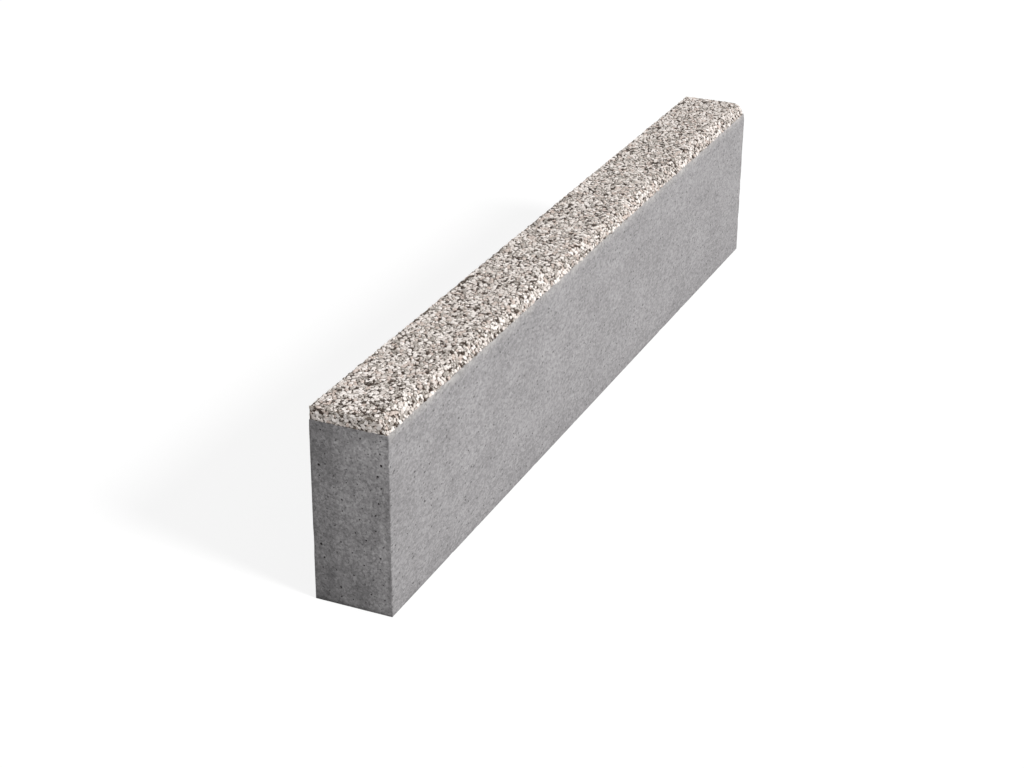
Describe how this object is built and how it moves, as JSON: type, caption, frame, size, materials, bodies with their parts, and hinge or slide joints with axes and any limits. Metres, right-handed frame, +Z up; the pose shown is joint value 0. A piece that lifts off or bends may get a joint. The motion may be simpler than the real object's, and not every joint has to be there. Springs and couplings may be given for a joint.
{
  "type": "concrete kerb stone",
  "caption": "Straight upright concrete kerb stone with a washed granite-chip facing on its top and a rounded top edge on the road side.",
  "frame": {"origin": "middle of the underside, on the ground line", "axes": "+X runs along the kerb, -Y faces the road and the rounded top edge, +Z is up"},
  "size_m": [1, 0.08, 0.2],
  "materials": {
    "concrete": "matte",
    "washed_granite": "matte"
  },
  "bodies": {
    "root": {"concrete_body": "concrete", "granite_facing": "washed_granite"}
  },
  "joints": []
}
